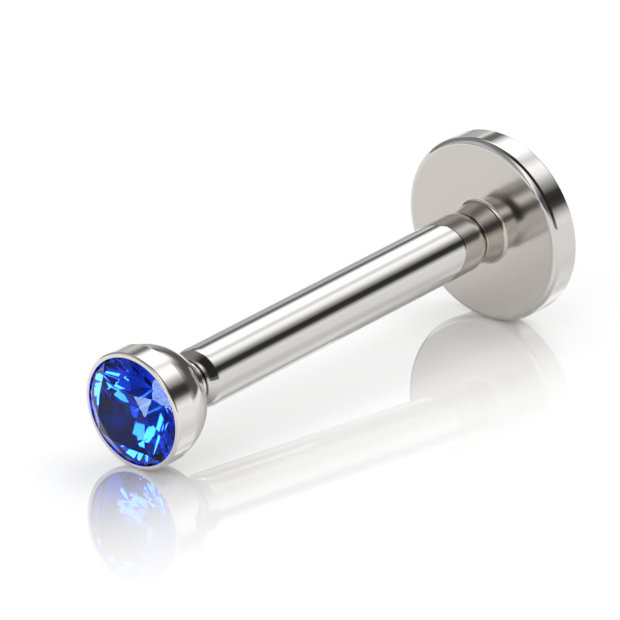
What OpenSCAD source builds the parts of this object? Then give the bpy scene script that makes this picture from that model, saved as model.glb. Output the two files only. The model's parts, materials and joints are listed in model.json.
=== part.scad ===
// Labret stud: a straight bar with a flat disc at its back and a screw-on bezel head that holds a round stone.
// The stud is turned work, so each metal piece is one profile spun about the stud's own axis. Profiles are
// drawn with x as the radius and y as the station along that axis, which starts at the rim of the bezel and
// runs to the back of the disc. The finished stud then lies on the ground on the rims of its disc and head.

/* [Bar] */
// Diameter of the bar, 16 gauge
bar_d = 1.2; // [1:0.05:1.6]
// Length of the bar between its two end faces
bar_l = 8.1; // [5:0.1:14]
// Wall of the bar round the bore for the head's thread
bar_wall = 0.15; // [0.12:0.01:0.2]
// Width of the flat ring left round that bore at the end face
bar_lip = 0.05; // [0.03:0.01:0.08]
// Length of the rounded stretch at each end of the bar
bar_end_l = 0.3; // [0.15:0.01:0.4]
// Wall of the bar round the spigot of the disc
tail_wall = 0.24; // [0.18:0.01:0.3]

/* [Disc] */
// Diameter of the flat disc
disc_d = 3.8; // [3:0.1:5]
// Thickness of the disc
disc_t = 0.6; // [0.4:0.05:0.9]
// Radius of the rounded front edge of the disc
disc_front_round = 0.15; // [0.04:0.01:0.2]
// Radius of the rounded back edge of the disc
disc_back_round = 0.04; // [0.02:0.01:0.1]

/* [Collar] */
// How far the collar stands out round the end face of the bar
collar_ledge = 0.04; // [0:0.01:0.08]
// Length of the collar's straight flare
collar_flare_l = 0.37; // [0.1:0.01:0.6]
// How much the flare widens over that length, on the radius
collar_flare = 0.07; // [0:0.01:0.1]
// Radius of the fillet between the collar and the face of the disc
collar_fillet = 0.08; // [0.04:0.01:0.25]
// Length of the spigot that is pressed into the bar
spigot_l = 0.9; // [0.6:0.1:1.4]

/* [Head] */
// Wall of the bezel outside the girdle of the stone
bezel_wall = 0.065; // [0.06:0.005:0.12]
// Length of the straight band
band_l = 0.48; // [0.4:0.01:0.7]
// Radius of the rounded outer edge of the rim
rim_round = 0.05; // [0.02:0.005:0.06]
// Distance of the dome's centre behind the rim
dome_s = 0.36; // [0.25:0.01:0.4]
// How far the band stands out from the dome behind it
dome_step = 0.012; // [0:0.002:0.03]
// How far the neck draws in from the end face of the bar
neck_ledge = 0.03; // [0.01:0.005:0.05]
// Length of the neck between the dome and its end face
neck_l = 0.17; // [0.1:0.01:0.5]
// How much the neck narrows over that length, on the radius
neck_taper = 0.02; // [0:0.005:0.04]
// Radius of the rounded edge at the end of the neck
neck_round = 0.03; // [0.01:0.005:0.04]
// Length of the threaded stem beyond the neck
stem_l = 1.6; // [1.2:0.1:2.4]
// Bevel at the tip of the stem
stem_tip = 0.08; // [0.04:0.01:0.12]

/* [Stone] */
// Diameter of the stone at its girdle
gem_d = 2.2; // [1.8:0.05:3]
// Width of the table from corner to corner, as a share of the girdle
table_share = 0.57; // [0.53:0.01:0.65]
// Thickness of the girdle where it is thinnest
girdle_t = 0.02; // [0.01:0.005:0.05]
// Slope of the crown's main facets
crown_angle = 34.5; // [30:0.5:36]
// Slope of the pavilion's main facets
pavilion_angle = 40.75; // [38:0.25:42]
// Reach of the star facets, as a share of the way from the table to the girdle
star_share = 0.55; // [0.45:0.01:0.6]
// Reach of the lower girdle facets, as a share of the way from the girdle to the culet
lower_share = 0.77; // [0.7:0.01:0.82]
// Turn of the stone in its setting
gem_turn = 31; // [0:1:44]
// Depth of the girdle below the rim
girdle_s = 0.04; // [0.03:0.005:0.06]

/* [Fits] */
// Clearance round the stem in the bar, on the radius
stem_clear = 0.03; // [0.02:0.005:0.05]
// Clearance round the spigot in the bar, on the radius
spigot_clear = 0.01; // [0.005:0.005:0.02]
// Room past the tips of the stem and the spigot
end_clear = 0.3; // [0.2:0.05:0.5]
// Seam between end faces that meet
seam = 0.01; // [0.005:0.005:0.02]
// Clearance between the stone and its seat
gem_clear = 0.015; // [0.01:0.005:0.02]
// How far the rim reaches in over the girdle
rim_grip = 0.015; // [0.01:0.005:0.03]

/* [Hidden] */
$fn = 96;
DRILL_POINT = 118;
bar_r = bar_d / 2;
bore_r = bar_r - bar_wall;
stem_r = bore_r - stem_clear;
bore_l = stem_l + end_clear;
bar_end_r = bore_r + bar_lip;
bar_end_drop = bar_r - bar_end_r;
bar_end_arc = (bar_end_l * bar_end_l + bar_end_drop * bar_end_drop) / (2 * bar_end_drop);
tail_bore_r = bar_r - tail_wall;
tail_bore_l = spigot_l + end_clear;
spigot_r = tail_bore_r - spigot_clear;
collar_r = bar_end_r + collar_ledge;
collar_l = collar_flare_l + collar_fillet;
disc_r = disc_d / 2;
gem_r = gem_d / 2;
table_r = table_share * gem_r;
seat_r = gem_r + gem_clear;
head_r = seat_r + bezel_wall;
dome_r = head_r - dome_step;
neck_r = bar_end_r - neck_ledge;
neck_root_r = neck_r + neck_taper;

// Stations along the axis
neck_s = dome_s + sqrt(dome_r * dome_r - neck_root_r * neck_root_r);
neck_end = neck_s + neck_l;
stem_tip_s = neck_end + stem_l;
bar_s = neck_end + seam;
bar_tail_s = bar_s + bar_l;
collar_s = bar_tail_s + seam;
face_s = collar_s + collar_l;
back_s = face_s + disc_t;

// Heights in the stone, measured up and down from the plane of the girdle
octagon = cos(22.5);
half_facet = cos(11.25);
crown_h = (gem_r - table_r) * tan(crown_angle);
pavilion_h = gem_r * tan(pavilion_angle);
star_r = table_r * octagon + star_share * (gem_r - table_r * octagon);
star_h = (gem_r - star_r * octagon) * tan(crown_angle);
upper_angle = atan(star_h / ((gem_r - star_r) * half_facet));
lower_r = gem_r * (1 - lower_share);
lower_h = (gem_r - lower_r * octagon) * tan(pavilion_angle);
lower_angle = atan(lower_h / ((gem_r - lower_r) * half_facet));
upper_dip = gem_r * (1 - half_facet) * tan(upper_angle);
lower_dip = gem_r * (1 - half_facet) * tan(lower_angle);
girdle_h = upper_dip + girdle_t + lower_dip;

// The rounded front edges of the rim and the disc carry the stud on the ground
rest_run = (face_s + disc_front_round) - rim_round;
rest_rise = (disc_r - disc_front_round) - (head_r - rim_round);
lie_tilt = atan(rest_rise / rest_run)
         + asin((disc_front_round - rim_round) / sqrt(rest_run * rest_run + rest_rise * rest_rise));
lie_z = (head_r - rim_round) * cos(lie_tilt) + rim_round - rim_round * sin(lie_tilt);
lie_front = (girdle_s - crown_h) * cos(lie_tilt) - table_r * sin(lie_tilt);
lie_back = (back_s - disc_back_round) * cos(lie_tilt) + (disc_r - disc_back_round) * sin(lie_tilt)
         + disc_back_round;

// Lays the axis down along +Y, rising towards the disc, with the stud's middle over the origin and the line
// where each turned surface closes on itself underneath
module lay() {
    translate([0, -(lie_front + lie_back) / 2, lie_z])
        rotate([-(90 - lie_tilt), 0, 0]) rotate([0, 0, 90])
            children();
}

// A cylinder's profile between two stations
module span(from, to, r) {
    translate([0, from]) square([r, to - from]);
}

// The rounded end of the bar, whose end face is at y = 0
module bar_end_profile() {
    intersection() {
        square([bar_r, bar_end_l]);
        union() {
            translate([bar_r - bar_end_arc, bar_end_l]) circle(bar_end_arc);
            square([bar_end_r, bar_end_l]);
        }
    }
}

// A drilled blind hole's profile, from its mouth at y = 0
module drill_profile(r, depth) {
    point = r / tan(DRILL_POINT / 2);
    translate([0, -1]) square([r, depth + 1]);
    polygon([[0, depth], [r, depth], [0, depth + point]]);
}

module bar() {
    color([0.78, 0.77, 0.76]) lay() rotate_extrude() difference() {
        union() {
            translate([0, bar_s]) bar_end_profile();
            span(bar_s + bar_end_l, bar_tail_s - bar_end_l, bar_r);
            translate([0, bar_tail_s]) mirror([0, 1]) bar_end_profile();
        }
        translate([0, bar_s]) drill_profile(bore_r, bore_l);
        translate([0, bar_tail_s]) mirror([0, 1]) drill_profile(tail_bore_r, tail_bore_l);
    }
}

// The fillet that fills the corner between the collar and the disc
module collar_fillet_profile(r) {
    translate([r, face_s - collar_fillet]) difference() {
        square(collar_fillet);
        translate([collar_fillet, 0]) circle(collar_fillet);
    }
}

module disc() {
    front_r = disc_r - disc_front_round;
    back_r = disc_r - disc_back_round;
    root_r = collar_r + collar_flare;
    color([0.77, 0.76, 0.74]) lay() rotate_extrude() {
        span(collar_s - spigot_l, face_s, spigot_r);
        polygon([[0, collar_s], [collar_r, collar_s], [root_r, face_s - collar_fillet], [root_r, face_s],
                 [0, face_s]]);
        collar_fillet_profile(root_r);
        span(face_s, back_s, back_r - disc_front_round);
        span(face_s, face_s + disc_front_round, front_r);
        span(face_s + disc_front_round, back_s - disc_back_round, disc_r);
        span(back_s - disc_back_round, back_s, back_r);
        translate([front_r, face_s + disc_front_round]) circle(disc_front_round);
        translate([back_r, back_s - disc_back_round]) circle(disc_back_round);
    }
}

// The hollow that takes the stone: the opening in the rim, the bore for the girdle and the conical seat
module seat_profile() {
    seat_s = girdle_s + girdle_h + gem_clear;
    translate([0, -1]) square([gem_r - rim_grip, girdle_s + 1]);
    span(girdle_s - gem_clear, seat_s, seat_r);
    polygon([[0, seat_s], [seat_r, seat_s], [0, seat_s + seat_r * tan(pavilion_angle)]]);
}

module bezel_head() {
    // The neck's cone runs on into the dome
    cone_r = neck_r + (neck_root_r - neck_r) * (neck_end - neck_round - dome_s) / (neck_l - neck_round);
    color([0.79, 0.78, 0.77]) lay() rotate_extrude() difference() {
        union() {
            span(0, rim_round, head_r - rim_round);
            span(rim_round, band_l, head_r);
            translate([head_r - rim_round, rim_round]) intersection() {
                circle(rim_round);
                translate([-rim_round / 2, -rim_round]) square([2 * rim_round, rim_round]);
            }
            intersection() {
                translate([0, dome_s]) circle(dome_r);
                span(band_l, neck_end, dome_r);
            }
            polygon([[0, dome_s], [cone_r, dome_s], [neck_r, neck_end - neck_round], [0, neck_end - neck_round]]);
            span(dome_s, neck_end, neck_r - neck_round);
            translate([neck_r - neck_round, neck_end - neck_round]) circle(neck_round);
            span(dome_s, stem_tip_s - stem_tip, stem_r);
            polygon([[0, stem_tip_s - stem_tip], [stem_r, stem_tip_s - stem_tip],
                     [stem_r - stem_tip, stem_tip_s], [0, stem_tip_s]]);
        }
        seat_profile();
    }
}

// A ring of points at even angles
function ring(count, r, h, start = 0) =
    [for (k = [0:count - 1]) [r * cos(start + 360 * k / count), r * sin(start + 360 * k / count), h]];

// The girdle's edge, which dips between the corners of the main facets
function girdle_edge(corner_h, dip_h) =
    [for (k = [0:31]) [gem_r * cos(11.25 * k), gem_r * sin(11.25 * k), k % 2 == 0 ? corner_h : dip_h]];

// A round brilliant with its table up and the upper corners of its girdle at z = 0
module brilliant() {
    low_dip_h = -upper_dip - girdle_t;
    low_h = low_dip_h - lower_dip;
    points = concat(
        ring(8, table_r, crown_h),
        ring(8, star_r, star_h, 22.5),
        girdle_edge(0, -upper_dip),
        girdle_edge(low_h, low_dip_h),
        ring(8, lower_r, low_h - lower_h, 22.5),
        [[0, 0, low_h - pavilion_h]]
    );
    function table(k) = (k + 8) % 8;
    function star(k) = 8 + (k + 8) % 8;
    function top(k) = 16 + (k + 32) % 32;
    function low(k) = 48 + (k + 32) % 32;
    function tip(k) = 80 + (k + 8) % 8;
    culet = 88;
    polyhedron(points, concat(
        [[for (k = [7:-1:0]) table(k)]],
        [for (k = [0:7]) [table(k), table(k + 1), star(k)]],
        [for (k = [0:7]) [table(k), star(k), top(4 * k), star(k - 1)]],
        [for (k = [0:7]) [star(k), top(4 * k + 2), top(4 * k + 1), top(4 * k)]],
        [for (k = [0:7]) [star(k), top(4 * k + 4), top(4 * k + 3), top(4 * k + 2)]],
        [for (k = [0:31]) [top(k), top(k + 1), low(k + 1), low(k)]],
        [for (k = [0:7]) [tip(k), low(4 * k), low(4 * k + 1), low(4 * k + 2)]],
        [for (k = [0:7]) [tip(k), low(4 * k + 2), low(4 * k + 3), low(4 * k + 4)]],
        [for (k = [0:7]) [culet, tip(k - 1), low(4 * k), tip(k)]]
    ));
}

module gem() {
    color([0.05, 0.15, 0.85, 0.8]) lay() translate([0, 0, girdle_s]) rotate([180, 0, gem_turn]) brilliant();
}

bar();
disc();
bezel_head();
gem();
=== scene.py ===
# Labret stud of polished steel with a round blue stone, lying on a sheet of white acrylic
import json
import math
import bmesh
import bpy
from mathutils import Matrix, Vector


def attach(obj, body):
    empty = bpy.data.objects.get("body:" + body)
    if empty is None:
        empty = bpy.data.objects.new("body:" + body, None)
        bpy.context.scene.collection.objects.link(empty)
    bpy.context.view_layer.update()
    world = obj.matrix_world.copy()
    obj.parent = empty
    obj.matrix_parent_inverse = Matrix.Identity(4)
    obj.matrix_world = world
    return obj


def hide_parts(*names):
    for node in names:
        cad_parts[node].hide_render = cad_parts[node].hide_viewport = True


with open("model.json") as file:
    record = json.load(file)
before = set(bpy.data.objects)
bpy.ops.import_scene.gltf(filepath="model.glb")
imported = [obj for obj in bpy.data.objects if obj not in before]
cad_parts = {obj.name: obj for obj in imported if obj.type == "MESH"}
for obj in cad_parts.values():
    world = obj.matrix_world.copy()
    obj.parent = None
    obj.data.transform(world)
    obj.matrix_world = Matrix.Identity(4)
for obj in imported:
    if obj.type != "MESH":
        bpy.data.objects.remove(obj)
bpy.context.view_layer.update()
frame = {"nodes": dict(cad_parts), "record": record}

mm = 0.001
steps = {"turn": 192, "fillet": 12, "rim": 8, "round": 5, "edge": 3, "hair": 2, "chamfer": 1}  # facets
sharpAngle = 35  # degrees past which an edge between two faces stays crisp
weldGap = 1e-5  # mm between points that are one point
ringGap = 1e-4  # mm that a point may lie off a ring that is picked
wallGap = 1e-3  # mm that a point may lie off a cylinder that is picked
longEdge = 0.1  # mm of station that an edge along a cylinder spans at least

# Sizes in mm that several pieces share
stud = {
    "barR": 0.6,
    "boreR": 0.45,
    "barEndR": 0.5,
    "barL": 8.1,
    "seam": 0.01,
    "neckL": 0.17,
    "neckR": 0.47,
    "neckTaper": 0.02,
    "stemL": 1.6,
    "domeS": 0.36,
    "domeR": 1.168,
    "collarL": 0.45,
    "discT": 0.6,
}

# Stations in mm along the stud's own axis, from the rim of the bezel to the back of the disc
neckRootR = stud["neckR"] + stud["neckTaper"]
neckS = stud["domeS"] + math.sqrt(stud["domeR"] ** 2 - neckRootR ** 2)
neckEnd = neckS + stud["neckL"]
barS = neckEnd + stud["seam"]
barTail = barS + stud["barL"]
collarS = barTail + stud["seam"]
faceS = collarS + stud["collarL"]
backS = faceS + stud["discT"]

# The stud lies on its two rims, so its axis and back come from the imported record
discBack = next(m for m in frame["record"]["mounts"] if m["name"] == "disc_back")
studAxis = Vector(discBack["axis"]).normalized()
rimCentre = Vector(discBack["pos_m"]) - studAxis * backS * mm
lieAngle = math.asin(studAxis.z)
layTurn = Matrix.Rotation(lieAngle - math.pi / 2, 4, "X")
layStud = Matrix.Translation(rimCentre) @ layTurn @ Matrix.Scale(mm, 4)


# Mesh helpers: a half section has x as the radius and z as the station, in mm
def sectionLine(bm, corners, start=None):
    verts = [start] if start else []
    verts += [bm.verts.new((r, 0, s)) for r, s in corners]
    for a, b in zip(verts, verts[1:]):
        bm.edges.new((a, b))
    return verts[-1]


def sectionArc(bm, start, centre, degrees, count):
    made = bmesh.ops.spin(bm, geom=[start], cent=(centre[0], 0, centre[1]), axis=(0, 1, 0), dvec=(0, 0, 0),
                          angle=math.radians(degrees), steps=count, use_merge=False)
    return next(g for g in made["geom_last"] if isinstance(g, bmesh.types.BMVert))


def turnSection(bm):
    bmesh.ops.spin(bm, geom=bm.verts[:] + bm.edges[:], cent=(0, 0, 0), axis=(0, 0, 1), dvec=(0, 0, 0),
                   angle=math.tau, steps=steps["turn"], use_merge=True)
    bmesh.ops.remove_doubles(bm, verts=bm.verts, dist=weldGap)


def offWall(vert, r):
    return abs(math.hypot(vert.co.x, vert.co.y) - r)


def ringEdges(bm, r, s):
    return [e for e in bm.edges
            if all(abs(v.co.z - s) < ringGap and offWall(v, r) < ringGap for v in e.verts)]


def roundRing(bm, r, s, size, segments):
    bmesh.ops.bevel(bm, geom=ringEdges(bm, r, s), offset=size, offset_type="OFFSET", affect="EDGES",
                    segments=segments, profile=0.5, material=-1, clamp_overlap=True)


def cutRings(bm, r, fromS, toS, count):
    # cuts a plain cylinder into rings, so that it can carry a thread or hold its shading
    along = [e for e in bm.edges
             if all(offWall(v, r) < wallGap and fromS - ringGap < v.co.z < toS + ringGap for v in e.verts)
             and abs(e.verts[0].co.z - e.verts[1].co.z) > longEdge]
    bmesh.ops.subdivide_edges(bm, edges=along, cuts=count, use_grid_fill=True)


def finishPiece(bm, name, body, replaced, material):
    bmesh.ops.remove_doubles(bm, verts=bm.verts, dist=weldGap)
    bmesh.ops.recalc_face_normals(bm, faces=bm.faces)
    mesh = bpy.data.meshes.new(name)
    bm.to_mesh(mesh)
    bm.free()
    mesh.shade_smooth()
    mesh.set_sharp_from_angle(angle=math.radians(sharpAngle))
    mesh.materials.append(material)
    piece = bpy.data.objects.new(name, mesh)
    bpy.context.scene.collection.objects.link(piece)
    # flat faces stay flat beside their rounded edges, which is settled in mm, because the modifier
    # can't weigh faces as small as these are in metres
    weighted = piece.modifiers.new("flatFaces", "WEIGHTED_NORMAL")
    weighted.keep_sharp = True
    weighted.thresh = 0
    settled = bpy.data.meshes.new_from_object(piece.evaluated_get(bpy.context.evaluated_depsgraph_get()))
    settled.transform(layStud)
    piece.modifiers.clear()
    piece.data = settled
    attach(piece, body)
    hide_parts(replaced)
    print(name, len(settled.polygons), "faces")
    return piece


# Material helpers: an input is given a value, or the socket that feeds it
def hexColour(code):
    parts = [int(code[i:i + 2], 16) / 255 for i in (1, 3, 5)]
    return (*[c / 12.92 if c <= 0.04045 else ((c + 0.055) / 1.055) ** 2.4 for c in parts], 1)


def addNode(tree, kind, settings=None, inputs=None):
    node = tree.nodes.new(kind)
    for key, value in (settings or {}).items():
        setattr(node, key, value)
    for key, value in (inputs or {}).items():
        if isinstance(value, bpy.types.NodeSocket):
            tree.links.new(value, node.inputs[key])
        else:
            node.inputs[key].default_value = value
    return node


def newMaterial(name):
    material = bpy.data.materials.new(name)
    material.use_nodes = True
    material.node_tree.nodes.clear()
    return material, material.node_tree


# 316L stainless steel, turned on a lathe and then polished on a wheel: a clear, slightly warm mirror
# with very faint rings left by the tool. The rings are drawn coarser than real, so that they show. The
# collar and the flat face of the disc are left satin from fine abrasive paper.
steel = {
    "ringPitch": 0.04,  # mm from one ring of the tool to the next
    "ringDetail": 2.0,
    "ringRough": 0.6,
    "smudge": 0.625,  # mm across a smudge of polish
    "smudgeDetail": 4.0,
    "smudgeRough": 0.55,
    "smudgeFrom": 0.35,
    "smudgeTo": 0.7,
    "clearest": 0.8,  # roughness between the smudges and on them, as shares of the given one
    "dullest": 1.5,
    "satinMargin": 0.002,
}


def polishedSteel(name, colour, roughness, ringRelief, satin=None):
    material, tree = newMaterial(name)
    # Object coordinates turned onto the stud: x and y across it, z the station, in mm
    turnBack = layTurn.inverted()
    place = addNode(tree, "ShaderNodeTexCoord").outputs["Object"]
    onStud = addNode(tree, "ShaderNodeMapping", {"vector_type": "POINT"}, {
        "Vector": place, "Location": turnBack @ -rimCentre / mm, "Rotation": turnBack.to_euler(),
        "Scale": (1 / mm, 1 / mm, 1 / mm)}).outputs["Vector"]
    x, y, s = addNode(tree, "ShaderNodeSeparateXYZ", None, {"Vector": onStud}).outputs
    across = addNode(tree, "ShaderNodeCombineXYZ", None, {"X": x, "Y": y}).outputs["Vector"]
    radius = addNode(tree, "ShaderNodeVectorMath", {"operation": "LENGTH"}, {0: across}).outputs["Value"]
    ringPlace = addNode(tree, "ShaderNodeCombineXYZ", None, {"X": radius, "Z": s}).outputs["Vector"]
    rings = addNode(tree, "ShaderNodeTexNoise", {"noise_dimensions": "3D"}, {
        "Vector": ringPlace, "Scale": 1 / steel["ringPitch"], "Detail": steel["ringDetail"],
        "Roughness": steel["ringRough"]}).outputs["Fac"]
    smudges = addNode(tree, "ShaderNodeTexNoise", {"noise_dimensions": "3D"}, {
        "Vector": onStud, "Scale": 1 / steel["smudge"], "Detail": steel["smudgeDetail"],
        "Roughness": steel["smudgeRough"]}).outputs["Fac"]
    shine = addNode(tree, "ShaderNodeMapRange", None, {
        "Value": smudges, "From Min": steel["smudgeFrom"], "From Max": steel["smudgeTo"],
        "To Min": roughness * steel["clearest"], "To Max": roughness * steel["dullest"]}).outputs["Result"]
    relief = addNode(tree, "ShaderNodeBump", None, {
        "Height": rings, "Strength": 1.0, "Distance": ringRelief * mm}).outputs["Normal"]
    tint = hexColour(colour)
    if satin:
        low = addNode(tree, "ShaderNodeMath", {"operation": "GREATER_THAN"}, {0: s, 1: satin["fromS"]})
        high = addNode(tree, "ShaderNodeMath", {"operation": "LESS_THAN"}, {0: s, 1: satin["toS"]})
        face = addNode(tree, "ShaderNodeMath", {"operation": "MULTIPLY"},
                       {0: low.outputs["Value"], 1: high.outputs["Value"]}).outputs["Value"]
        shine = addNode(tree, "ShaderNodeMix", {"data_type": "FLOAT"},
                        {"Factor": face, "A": shine, "B": satin["roughness"]}).outputs["Result"]
        tint = addNode(tree, "ShaderNodeMix", {"data_type": "RGBA"},
                       {"Factor": face, "A": tint, "B": hexColour(satin["colour"])}).outputs["Result"]
    shader = addNode(tree, "ShaderNodeBsdfPrincipled", None, {
        "Base Color": tint, "Metallic": 1.0, "Roughness": shine, "Normal": relief})
    addNode(tree, "ShaderNodeOutputMaterial", None, {"Surface": shader.outputs["BSDF"]})
    return material


# Cubic zirconia, grown blue, cut into flat facets and polished: dense glass that bends light strongly.
# The colour lies in the body of the stone, so light that bounces about in it long comes out navy, and
# short ways stay sky blue. The outer mirror of the facets is kept faint, so that the eye looks into the
# stone. The large table carries painted shade: its colour lets less light through than the small facets round
# it, so it always looks dark.
zirconia = {
    "refraction": 1.9,
    "body": "#7cbcf7",
    "depth": 2300.0,  # per metre, how fast the body takes up light
    "facets": "#ffffff",
    # painted shade: the darker colour given to the table facet alone
    "table": "#89a095",
    "tableFacing": 0.97,
    "outerMirror": "#59697c",
    "innerMirror": "#ffffff",
}


def blueZirconia():
    material, tree = newMaterial("blueZirconia")
    normal = addNode(tree, "ShaderNodeTexCoord").outputs["Normal"]
    facing = addNode(tree, "ShaderNodeVectorMath", {"operation": "DOT_PRODUCT"},
                     {0: normal, 1: studAxis}).outputs["Value"]
    flat = addNode(tree, "ShaderNodeMath", {"operation": "ABSOLUTE"}, {0: facing}).outputs["Value"]
    shadedTableMask = addNode(tree, "ShaderNodeMath", {"operation": "GREATER_THAN"},
                      {0: flat, 1: zirconia["tableFacing"]}).outputs["Value"]
    # painted shade: the table facet gets a darker colour than the facets round it
    facetsAndShadedTable = addNode(tree, "ShaderNodeMix", {"data_type": "RGBA"}, {
        "Factor": shadedTableMask, "A": hexColour(zirconia["facets"]), "B": hexColour(zirconia["table"])})
    inside = addNode(tree, "ShaderNodeNewGeometry").outputs["Backfacing"]
    mirror = addNode(tree, "ShaderNodeMix", {"data_type": "RGBA"}, {
        "Factor": inside, "A": hexColour(zirconia["outerMirror"]), "B": hexColour(zirconia["innerMirror"])})
    shader = addNode(tree, "ShaderNodeBsdfPrincipled", None, {
        "Base Color": facetsAndShadedTable.outputs["Result"], "Specular Tint": mirror.outputs["Result"],
        "Roughness": 0.0, "IOR": zirconia["refraction"], "Transmission Weight": 1.0})
    depth = addNode(tree, "ShaderNodeVolumeAbsorption", None, {
        "Color": hexColour(zirconia["body"]), "Density": zirconia["depth"]})
    addNode(tree, "ShaderNodeOutputMaterial", None,
            {"Surface": shader.outputs["BSDF"], "Volume": depth.outputs["Volume"]})
    return material


discSatin = {"fromS": collarS - steel["satinMargin"], "toS": faceS + steel["satinMargin"], "roughness": 0.14,
             "colour": "#c9c3bd"}
barSteel = polishedSteel("polishedBarSteel", "#cfcdca", roughness=0.04, ringRelief=0.00006)
discSteel = polishedSteel("satinDiscSteel", "#cfccc9", roughness=0.07, ringRelief=0.0001, satin=discSatin)
bezelSteel = polishedSteel("polishedBezelSteel", "#e0dcd8", roughness=0.09, ringRelief=0.00005)
gemStone = blueZirconia()
print("materials done")

# Thread on the stem and in the bore: fine metric form, straight flanks with flattened crests
thread = {"pitch": 0.225, "stemDepth": 0.07, "boreDepth": 0.05, "flat": 0.15, "flank": 0.6, "rings": 80}


def threadHeight(x, y, s):
    turn = (s / thread["pitch"] - math.atan2(y, x) / math.tau) % 1
    wave = abs(turn - 0.5) * 2
    return min(1, max(0, (wave - thread["flat"]) / thread["flank"]))


def cutThread(bm, r, fromS, toS, deep, fade):
    # pushes the rings of a cylinder in or out, fading at both ends of the thread
    for v in bm.verts:
        if offWall(v, r) < wallGap and fromS < v.co.z < toS:
            ends = min(1, (v.co.z - fromS) / fade, (toS - v.co.z) / fade)
            target = r + deep * ends * threadHeight(v.co.x, v.co.y, v.co.z)
            around = math.hypot(v.co.x, v.co.y)
            v.co.x *= target / around
            v.co.y *= target / around


# Bar: straight round bar with rounded ends, a blind bore in front for the stem and one behind for the spigot
bar = {"endL": 0.3, "endSteps": 10, "tailBoreR": 0.36, "boreL": 1.9, "tailBoreL": 1.2, "drillPoint": 118,
       "edge": 0.008, "rings": 15, "threadIn": 0.03, "threadOut": 0.05, "threadFade": 0.1}


def makeBar():
    bm = bmesh.new()
    half = math.tan(math.radians(bar["drillPoint"] / 2))
    drop = stud["barR"] - stud["barEndR"]
    arcR = (bar["endL"] ** 2 + drop ** 2) / (2 * drop)
    swing = math.degrees(math.asin(bar["endL"] / arcR))
    frontS, tailS = barS + bar["endL"], barTail - bar["endL"]
    boreEnd, tailBoreEnd = barS + bar["boreL"], barTail - bar["tailBoreL"]
    mouth = sectionLine(bm, [(0, boreEnd + stud["boreR"] / half), (stud["boreR"], boreEnd),
                             (stud["boreR"], barS), (stud["barEndR"], barS)])
    shoulder = sectionArc(bm, mouth, (stud["barR"] - arcR, frontS), -swing, bar["endSteps"])
    tailStart = sectionLine(bm, [(stud["barR"], tailS)], shoulder)
    tailEnd = sectionArc(bm, tailStart, (stud["barR"] - arcR, tailS), -swing, bar["endSteps"])
    sectionLine(bm, [(bar["tailBoreR"], barTail), (bar["tailBoreR"], tailBoreEnd),
                     (0, tailBoreEnd - bar["tailBoreR"] / half)], tailEnd)
    turnSection(bm)
    for s in (barS, barTail):
        roundRing(bm, stud["barEndR"], s, bar["edge"], steps["edge"])
    roundRing(bm, stud["boreR"], barS, bar["edge"], steps["hair"])
    cutRings(bm, stud["barR"], frontS, tailS, bar["rings"])
    cutRings(bm, stud["boreR"], barS, boreEnd, thread["rings"])
    cutThread(bm, stud["boreR"], barS + bar["threadIn"], boreEnd - bar["threadOut"], thread["boreDepth"],
              bar["threadFade"])
    return finishPiece(bm, "turnedBar", "post", "bar", barSteel)


# Disc: flat back with a rounded front edge, the flared collar on its face, and the hidden spigot
disc = {"r": 1.9, "frontRound": 0.15, "backRound": 0.04, "collarR": 0.54, "flare": 0.07, "fillet": 0.08,
        "filletLead": 0.001, "spigotR": 0.35, "spigotL": 0.9, "spigotRound": 0.03, "edge": 0.008}


def makeDisc():
    bm = bmesh.new()
    rootR = disc["collarR"] + disc["flare"]
    rootS = faceS - disc["fillet"] - disc["filletLead"]
    tipS = collarS - disc["spigotL"]
    sectionLine(bm, [(0, tipS), (disc["spigotR"], tipS), (disc["spigotR"], collarS),
                     (disc["collarR"], collarS), (rootR, rootS), (rootR, faceS), (disc["r"], faceS),
                     (disc["r"], backS), (0, backS)])
    turnSection(bm)
    roundRing(bm, rootR, faceS, disc["fillet"], steps["fillet"])
    roundRing(bm, disc["r"], faceS, disc["frontRound"], steps["rim"])
    roundRing(bm, disc["r"], backS, disc["backRound"], steps["round"])
    roundRing(bm, disc["collarR"], collarS, disc["edge"], steps["edge"])
    roundRing(bm, disc["spigotR"], tipS, disc["spigotRound"], steps["hair"])
    return finishPiece(bm, "discBack", "post", "disc", discSteel)


# Bezel head: cup with a burnished rim, straight band, domed back, short neck and threaded stem
bezel = {"r": 1.18, "seatR": 1.115, "openR": 1.085, "girdleS": 0.04, "gemClear": 0.015, "girdleH": 0.058,
         "bandL": 0.48, "domeSteps": 24, "rimRound": 0.05, "neckRound": 0.03, "stemR": 0.42, "stemTip": 0.08,
         "pavilionAngle": 40.75, "edge": 0.006, "threadIn": 0.05, "threadOut": 0.02, "threadFade": 0.08}


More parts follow.
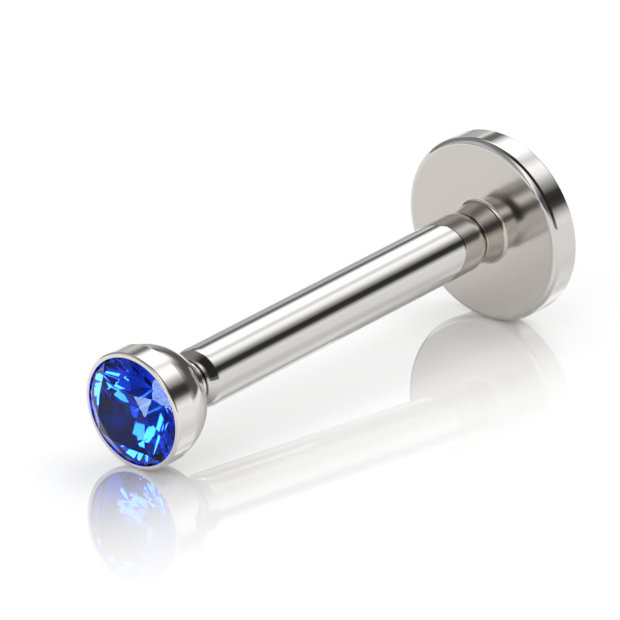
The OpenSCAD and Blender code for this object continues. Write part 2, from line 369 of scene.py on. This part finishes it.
def makeBezel():
    bm = bmesh.new()
    seatS = bezel["girdleS"] + bezel["girdleH"] + bezel["gemClear"]
    apexS = seatS + bezel["seatR"] * math.tan(math.radians(bezel["pavilionAngle"]))
    domeStart = math.degrees(math.acos((bezel["bandL"] - stud["domeS"]) / stud["domeR"]))
    domeEnd = math.degrees(math.acos((neckS - stud["domeS"]) / stud["domeR"]))
    startR = math.sqrt(stud["domeR"] ** 2 - (bezel["bandL"] - stud["domeS"]) ** 2)
    lip = bezel["girdleS"] - bezel["gemClear"]
    stemEnd = neckEnd + stud["stemL"]
    tipS = stemEnd - bezel["stemTip"]
    band = sectionLine(bm, [(0, apexS), (bezel["seatR"], seatS), (bezel["seatR"], lip),
                            (bezel["openR"], lip), (bezel["openR"], 0), (bezel["r"], 0),
                            (bezel["r"], bezel["bandL"]), (startR, bezel["bandL"])])
    neck = sectionArc(bm, band, (0, stud["domeS"]), domeEnd - domeStart, bezel["domeSteps"])
    sectionLine(bm, [(stud["neckR"], neckEnd), (bezel["stemR"], neckEnd), (bezel["stemR"], stemEnd),
                     (0, stemEnd)], neck)
    turnSection(bm)
    roundRing(bm, bezel["r"], 0, bezel["rimRound"], steps["rim"])
    roundRing(bm, bezel["openR"], 0, bezel["edge"], steps["hair"])
    roundRing(bm, bezel["r"], bezel["bandL"], bezel["edge"], steps["hair"])
    roundRing(bm, stud["neckR"], neckEnd, bezel["neckRound"], steps["round"])
    roundRing(bm, bezel["stemR"], stemEnd, bezel["stemTip"], steps["chamfer"])
    cutRings(bm, bezel["stemR"], neckEnd, tipS, thread["rings"])
    cutThread(bm, bezel["stemR"], neckEnd + bezel["threadIn"], tipS + bezel["threadOut"],
              -thread["stemDepth"], bezel["threadFade"])
    return finishPiece(bm, "bezelHead", "head", "bezel_head", bezelSteel)


makeBar()
makeDisc()
makeBezel()
gem = frame["nodes"]["gem"]
gem.data.materials.clear()
gem.data.materials.append(gemStone)
print("pieces done")

# Floor: white acrylic sheet lit from above and below, glossy enough to mirror what stands close to it.
# The mirror image fades out with distance from the line that the stud lies along, and painted shade darkens
# the glow round what stands on the sheet.
floor = {
    "half": 2.0,  # metres
    "colour": "#f2f2f2",
    "glow": 0.59,
    "mirror": 0.54,
    "mirrorRough": 0.03,
    "fade": 12.0,  # mm to where the mirror image ends
    "fadePower": 1.8,
    "sideways": 2.2,  # how much sooner it ends to the sides
    "halfLine": 5.3,
    "contact": 1.6,  # mm round a contact that the glow darkens in, as painted contact shadow
    "contactDark": 0.8,
    "contactSamples": 16,
}


def makeFloor():
    bm = bmesh.new()
    bmesh.ops.create_grid(bm, x_segments=1, y_segments=1, size=floor["half"])
    mesh = bpy.data.meshes.new("floorSheet")
    bm.to_mesh(mesh)
    bm.free()
    material, tree = newMaterial("whiteAcrylic")
    place = addNode(tree, "ShaderNodeTexCoord").outputs["Object"]
    parts = addNode(tree, "ShaderNodeSeparateXYZ", None, {"Vector": place}).outputs
    beside = addNode(tree, "ShaderNodeMath", {"operation": "MULTIPLY"}, {0: parts["X"], 1: floor["sideways"]})
    length = addNode(tree, "ShaderNodeMath", {"operation": "ABSOLUTE"}, {0: parts["Y"]})
    past = addNode(tree, "ShaderNodeMath", {"operation": "SUBTRACT"},
                   {0: length.outputs["Value"], 1: floor["halfLine"] * mm})
    beyond = addNode(tree, "ShaderNodeMath", {"operation": "MAXIMUM"}, {0: past.outputs["Value"], 1: 0.0})
    offLine = addNode(tree, "ShaderNodeCombineXYZ", None,
                      {"X": beside.outputs["Value"], "Y": beyond.outputs["Value"]}).outputs["Vector"]
    away = addNode(tree, "ShaderNodeVectorMath", {"operation": "LENGTH"}, {0: offLine}).outputs["Value"]
    left = addNode(tree, "ShaderNodeMapRange", None, {
        "Value": away, "From Min": 0.0, "From Max": floor["fade"] * mm, "To Min": 1.0, "To Max": 0.0})
    eased = addNode(tree, "ShaderNodeMath", {"operation": "POWER"},
                    {0: left.outputs["Result"], 1: floor["fadePower"]}).outputs["Value"]
    fade = addNode(tree, "ShaderNodeMath", {"operation": "MULTIPLY"}, {0: eased, 1: floor["mirror"]})
    sheet = addNode(tree, "ShaderNodeBsdfDiffuse", None, {"Color": hexColour(floor["colour"])})
    gloss = addNode(tree, "ShaderNodeBsdfGlossy", None,
                    {"Color": hexColour("#ffffff"), "Roughness": floor["mirrorRough"]})
    # painted shade: the glow darkens round whatever stands close to the sheet, as a painted contact shadow
    openness = addNode(tree, "ShaderNodeAmbientOcclusion", {"samples": floor["contactSamples"]},
                       {"Distance": floor["contact"] * mm}).outputs["AO"]
    glowWithContactShade = addNode(tree, "ShaderNodeMapRange", None, {
        "Value": openness, "To Min": floor["glow"] * (1 - floor["contactDark"]), "To Max": floor["glow"]})
    glow = addNode(tree, "ShaderNodeEmission", None, {"Strength": glowWithContactShade.outputs["Result"]})
    lit = addNode(tree, "ShaderNodeAddShader", None, {0: sheet.outputs["BSDF"], 1: glow.outputs["Emission"]})
    mixed = addNode(tree, "ShaderNodeMixShader", None,
                    {0: fade.outputs["Value"], 1: lit.outputs["Shader"], 2: gloss.outputs["BSDF"]})
    addNode(tree, "ShaderNodeOutputMaterial", None, {"Surface": mixed.outputs["Shader"]})
    mesh.materials.append(material)
    sheetObject = bpy.data.objects.new("floorSheet", mesh)
    bpy.context.scene.collection.objects.link(sheetObject)


# Camera: the photograph's view, a long lens from the front right
view = {
    "azimuth": 41.158,
    "elevation": 21.409,
    "aim": (-0.48, 0.33, 1.443),  # mm, as the distance and the lens
    "distance": 153.3,
    "lens": 464.5,
    "sensor": 36,
    "clip": (0.001, 20),  # metres
}


def viewWay():
    turn, rise = math.radians(view["azimuth"]), math.radians(view["elevation"])
    return Vector((-math.sin(turn) * math.cos(rise), math.cos(turn) * math.cos(rise), -math.sin(rise)))


# Studio: two long banks of soft light lie across the stud, one behind the disc and one before the head,
# with a dark gap overhead between them. In each bank the tones change with the angle round the stud's
# axis, from the right of the photograph (0 degrees) over the top (90) to the left (180). A grey wall
# closes the far end, and a white card hangs where the floor mirrors the backdrop.
backBank = {
    "belowRight": (-90, 1.0),
    "farWall": (3, 1.1),
    "wallTop": (9, 0.85),
    "flagFoot": (20, 0.08),
    "flag": (28, 0.035),
    "flagTop": (37, 0.05),
    "fadeUp": (50, 0.6),
    "boxRight": (62, 1.35),
    "boxRightTop": (73, 1.6),
    "boxGap": (85, 1.0),
    "boxLeftTop": (95, 1.5),
    "boxLeft": (108, 3.0),
    "boxEdge": (122, 1.8),
    "leftFlag": (137, 0.2),
    "leftFlagTop": (144, 0.2),
    "leftWall": (157, 0.7),
    "leftFoot": (180, 0.5),
    "belowLeft": (270, 1.0),
}
frontBank = {
    "belowRight": (-90, 1.0),
    "farWall": (3, 1.1),
    "wallTop": (9, 0.85),
    "flagFoot": (20, 0.15),
    "flagTop": (37, 0.1),
    "fadeUp": (50, 0.6),
    "boxRight": (62, 1.35),
    "boxTop": (73, 1.6),
    "boxEdge": (85, 1.0),
    "topWall": (95, 0.5),
    "leftFlag": (110, 0.3),
    "leftWall": (138, 0.75),
    "leftFoot": (190, 0.55),
    "belowLeft": (270, 1.0),
}
gap = {
    "belowRight": (-90, 0.5),
    "farWall": (-5, 0.4),
    "flag": (15, 0.03),
    "flagTop": (85, 0.03),
    "topLeft": (115, 0.3),
    "leftWall": (180, 0.3),
    "belowLeft": (270, 0.5),
}
studio = {
    "gapFront": (-0.25, -0.45),  # where the gap gives way to a bank, as the cosine from the stud's axis
    "gapBack": (0.36, 0.48),
    "farEnd": (0.69, 0.95),
    "farTone": 0.1,
    "cardHalf": 3.6,  # degrees, as the card's soft edge
    "cardSoft": 0.3,
    "cardTone": 0.99,
    "brightest": 5.0,
    "backdrop": "#fafafa",
}


def greyTone(tone):
    return (*[tone / studio["brightest"]] * 3, 1)


def makeStudio():
    world = bpy.data.worlds.new("studio")
    bpy.context.scene.world = world
    world.use_nodes = True
    tree = world.node_tree
    tree.nodes.clear()
    direction = addNode(tree, "ShaderNodeTexCoord").outputs["Generated"]
    ways = (Vector((1, 0, 0)), Vector((0, -studAxis.z, studAxis.y)), studAxis, viewWay() * Vector((1, 1, -1)))
    across, up, along, toCard = (
        addNode(tree, "ShaderNodeVectorMath", {"operation": "DOT_PRODUCT"},
                {0: direction, 1: way}).outputs["Value"] for way in ways)
    # one whole turn round the stud's axis runs from 0 to 1, starting straight below it
    angle = addNode(tree, "ShaderNodeMath", {"operation": "ARCTAN2"}, {0: up, 1: across}).outputs["Value"]
    turns = addNode(tree, "ShaderNodeMath", {"operation": "MULTIPLY"}, {0: angle, 1: 1 / math.tau})
    fromBelow = addNode(tree, "ShaderNodeMath", {"operation": "ADD"}, {0: turns.outputs["Value"], 1: 1.25})
    turned = addNode(tree, "ShaderNodeMath", {"operation": "FRACT"},
                     {0: fromBelow.outputs["Value"]}).outputs["Value"]
    banks = []
    for tones in (gap, frontBank, backBank):
        bank = addNode(tree, "ShaderNodeValToRGB", None, {"Fac": turned})
        ramp = bank.color_ramp
        ramp.elements.remove(ramp.elements[-1])
        for i, (degrees, tone) in enumerate(tones.values()):
            stop = ramp.elements[0] if i == 0 else ramp.elements.new((degrees + 90) / 360)
            stop.position = (degrees + 90) / 360
            stop.color = greyTone(tone)
        banks.append(bank.outputs["Color"])
    cardEdges = [math.cos(math.radians(studio["cardHalf"] + d * studio["cardSoft"])) for d in (1, -1)]
    layers = (
        (along, studio["gapFront"], banks[1]),
        (along, studio["gapBack"], banks[2]),
        (along, studio["farEnd"], greyTone(studio["farTone"])),
        (toCard, cardEdges, greyTone(studio["cardTone"])),
    )
    worldTone = banks[0]
    for measure, (low, high), layer in layers:
        share = addNode(tree, "ShaderNodeMapRange", {"interpolation_type": "SMOOTHSTEP"},
                        {"Value": measure, "From Min": low, "From Max": high})
        worldTone = addNode(tree, "ShaderNodeMix", {"data_type": "RGBA"}, {
            "Factor": share.outputs["Result"], "A": worldTone, "B": layer}).outputs["Result"]
    light = addNode(tree, "ShaderNodeBackground", None, {"Color": worldTone, "Strength": studio["brightest"]})
    plain = addNode(tree, "ShaderNodeBackground", None,
                    {"Color": hexColour(studio["backdrop"]), "Strength": 1.0})
    seen = addNode(tree, "ShaderNodeLightPath").outputs["Is Camera Ray"]
    mixed = addNode(tree, "ShaderNodeMixShader", None,
                    {0: seen, 1: light.outputs["Background"], 2: plain.outputs["Background"]})
    addNode(tree, "ShaderNodeOutputWorld", None, {"Surface": mixed.outputs["Shader"]})


# Lamp: a round softbox linked to the stone alone, set in mm across and above the stud's axis. It is
# clear to all other rays, so that the metal mirrors the studio behind it.
lamp = {"r": 5.25, "across": 3.9, "above": 3.15, "before": 11.0, "tone": 26.0, "corners": 48}


def makeLamp():
    bm = bmesh.new()
    place = layStud @ Matrix.Translation((lamp["across"], -lamp["above"], -lamp["before"]))
    bmesh.ops.create_circle(bm, cap_ends=True, segments=lamp["corners"], radius=lamp["r"], matrix=place)
    mesh = bpy.data.meshes.new("stoneLamp")
    bm.to_mesh(mesh)
    bm.free()
    material, tree = newMaterial("lampCloth")
    glow = addNode(tree, "ShaderNodeEmission", None, {"Strength": lamp["tone"]}).outputs["Emission"]
    clear = addNode(tree, "ShaderNodeBsdfTransparent").outputs["BSDF"]
    cloth = addNode(tree, "ShaderNodeAddShader", None, {0: glow, 1: clear})
    addNode(tree, "ShaderNodeOutputMaterial", None, {"Surface": cloth.outputs["Shader"]})
    mesh.materials.append(material)
    lampObject = bpy.data.objects.new("stoneLamp", mesh)
    bpy.context.scene.collection.objects.link(lampObject)
    lampObject.visible_camera = False
    lampObject.visible_diffuse = False
    lampObject.visible_shadow = False
    lit = bpy.data.collections.new("litByLamp")
    lit.objects.link(gem)
    lampObject.light_linking.receiver_collection = lit


def makeCamera():
    towards = viewWay()
    camera = bpy.data.cameras.new("photoCamera")
    camera.lens, camera.sensor_width = view["lens"], view["sensor"]
    camera.clip_start, camera.clip_end = view["clip"]
    cameraObject = bpy.data.objects.new("photoCamera", camera)
    cameraObject.location = (Vector(view["aim"]) - towards * view["distance"]) * mm
    cameraObject.rotation_euler = towards.to_track_quat("-Z", "Y").to_euler()
    bpy.context.scene.collection.objects.link(cameraObject)
    bpy.context.scene.camera = cameraObject


makeFloor()
makeStudio()
makeLamp()
makeCamera()
scene = bpy.context.scene
scene.view_settings.view_transform = "Standard"
scene.cycles.use_denoising = True
scene.cycles.max_bounces = 24
scene.cycles.transmission_bounces = 20
scene.cycles.glossy_bounces = 12
print("studio done")
